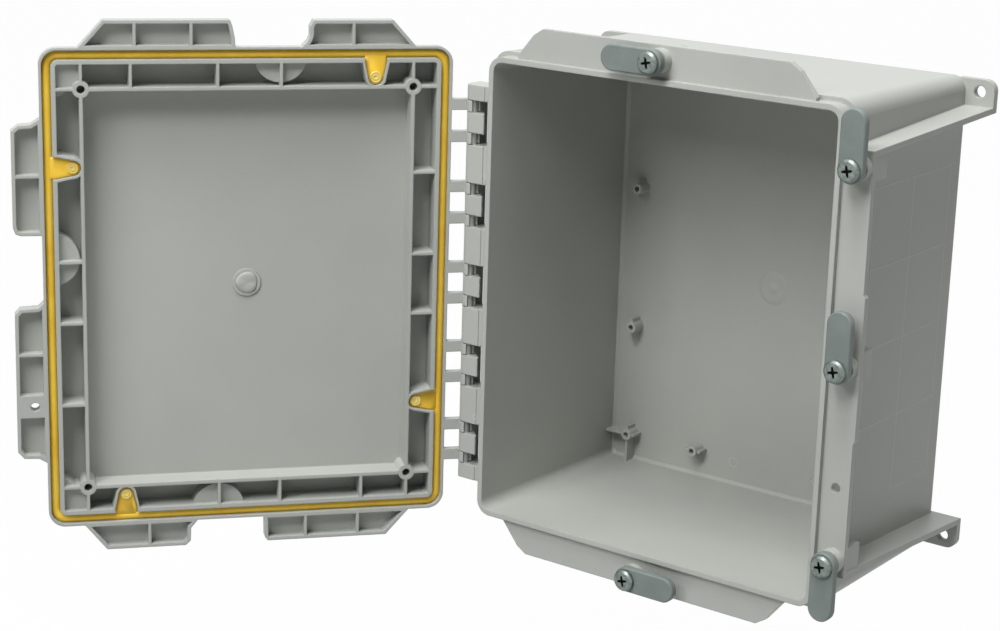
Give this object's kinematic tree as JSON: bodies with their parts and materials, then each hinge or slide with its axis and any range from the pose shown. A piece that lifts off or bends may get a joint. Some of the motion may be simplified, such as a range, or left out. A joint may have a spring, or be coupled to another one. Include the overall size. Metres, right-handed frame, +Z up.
{
  "type": "junction box",
  "caption": "Wall-mounted plastic junction box with a hinged cover, a gasket in the cover's groove, screw-held swing clamps on the rim and drilled wall ears.",
  "frame": {"origin": "centre of the wall hole pattern, on the plane of the wall", "axes": "+Z up, +Y into the wall, +X to the right of someone facing the box; the mouth faces -Y and the hinge is on the left"},
  "size_m": [0.4969, 0.38, 0.3538],
  "materials": {
    "housing_plastic": "smooth moulded, satin",
    "clamp_plastic": "smooth moulded, satin",
    "gasket_foam": "soft poured foam, satin",
    "rivet_plastic": "smooth moulded",
    "zinc_steel": "bright zinc plate",
    "insert_brass": "turned"
  },
  "bodies": {
    "box": {"body": "housing_plastic", "insert_top": "insert_brass", "insert_right_top": "insert_brass", "insert_right_mid": "insert_brass", "insert_right_low": "insert_brass", "insert_bottom": "insert_brass"},
    "cover": {"cover": "housing_plastic", "gasket": "gasket_foam", "gasket_rivets": "rivet_plastic"},
    "draw_top": {"washer_top": "zinc_steel"},
    "screw_top": {"screw_top": "zinc_steel"},
    "clamp_top": {"clamp_top": "clamp_plastic"},
    "draw_right_top": {"washer_right_top": "zinc_steel"},
    "screw_right_top": {"screw_right_top": "zinc_steel"},
    "clamp_right_top": {"clamp_right_top": "clamp_plastic"},
    "draw_right_mid": {"washer_right_mid": "zinc_steel"},
    "screw_right_mid": {"screw_right_mid": "zinc_steel"},
    "clamp_right_mid": {"clamp_right_mid": "clamp_plastic"},
    "draw_right_low": {"washer_right_low": "zinc_steel"},
    "screw_right_low": {"screw_right_low": "zinc_steel"},
    "clamp_right_low": {"clamp_right_low": "clamp_plastic"},
    "draw_bottom": {"washer_bottom": "zinc_steel"},
    "screw_bottom": {"screw_bottom": "zinc_steel"},
    "clamp_bottom": {"clamp_bottom": "clamp_plastic"}
  },
  "joints": [
    {"name": "cover_hinge", "type": "hinge", "parent": "box", "child": "cover", "pos_m": [-0.1463, -0.1534, 0], "axis": [0, 0, 1], "range_deg": [-50.4, 129.6]},
    {"name": "draw_top", "type": "slide", "parent": "box", "child": "draw_top", "axis": [0, 1, 0], "range_m": [0, 0.0012]},
    {"name": "screw_turn_top", "type": "hinge", "parent": "draw_top", "child": "screw_top", "pos_m": [0, -0.168, 0.16755], "axis": [0, 1, 0], "range_deg": [0, 340.5]},
    {"name": "clamp_swing_top", "type": "hinge", "parent": "draw_top", "child": "clamp_top", "pos_m": [0, -0.168, 0.16755], "axis": [0, -1, 0], "range_deg": [0, 40]},
    {"name": "draw_right_top", "type": "slide", "parent": "box", "child": "draw_right_top", "axis": [0, 1, 0], "range_m": [0, 0.0012]},
    {"name": "screw_turn_right_top", "type": "hinge", "parent": "draw_right_top", "child": "screw_right_top", "pos_m": [0.14115, -0.168, 0.1213], "axis": [0, 1, 0], "range_deg": [0, 340.5]},
    {"name": "clamp_swing_right_top", "type": "hinge", "parent": "draw_right_top", "child": "clamp_right_top", "pos_m": [0.14115, -0.168, 0.1213], "axis": [0, -1, 0], "range_deg": [0, 25]},
    {"name": "draw_right_mid", "type": "slide", "parent": "box", "child": "draw_right_mid", "axis": [0, 1, 0], "range_m": [0, 0.0012]},
    {"name": "screw_turn_right_mid", "type": "hinge", "parent": "draw_right_mid", "child": "screw_right_mid", "pos_m": [0.14115, -0.168, 0.001], "axis": [0, 1, 0], "range_deg": [0, 340.5]},
    {"name": "clamp_swing_right_mid", "type": "hinge", "parent": "draw_right_mid", "child": "clamp_right_mid", "pos_m": [0.14115, -0.168, 0.001], "axis": [0, -1, 0], "range_deg": [0, 40]},
    {"name": "draw_right_low", "type": "slide", "parent": "box", "child": "draw_right_low", "axis": [0, 1, 0], "range_m": [0, 0.0012]},
    {"name": "screw_turn_right_low", "type": "hinge", "parent": "draw_right_low", "child": "screw_right_low", "pos_m": [0.14115, -0.168, -0.1213], "axis": [0, 1, 0], "range_deg": [0, 340.5]},
    {"name": "clamp_swing_right_low", "type": "hinge", "parent": "draw_right_low", "child": "clamp_right_low", "pos_m": [0.14115, -0.168, -0.1213], "axis": [0, 1, 0], "range_deg": [0, 25]},
    {"name": "draw_bottom", "type": "slide", "parent": "box", "child": "draw_bottom", "axis": [0, 1, 0], "range_m": [0, 0.0012]},
    {"name": "screw_turn_bottom", "type": "hinge", "parent": "draw_bottom", "child": "screw_bottom", "pos_m": [0, -0.168, -0.16755], "axis": [0, 1, 0], "range_deg": [0, 340.5]},
    {"name": "clamp_swing_bottom", "type": "hinge", "parent": "draw_bottom", "child": "clamp_bottom", "pos_m": [0, -0.168, -0.16755], "axis": [0, -1, 0], "range_deg": [0, 40]}
  ],
  "couplings": [
    {"joint": "screw_turn_top", "follows": "draw_top", "rad_per_m": 4947.4},
    {"joint": "screw_turn_right_top", "follows": "draw_right_top", "rad_per_m": 4947.4},
    {"joint": "screw_turn_right_mid", "follows": "draw_right_mid", "rad_per_m": 4947.4},
    {"joint": "screw_turn_right_low", "follows": "draw_right_low", "rad_per_m": 4947.4},
    {"joint": "screw_turn_bottom", "follows": "draw_bottom", "rad_per_m": 4947.4}
  ]
}
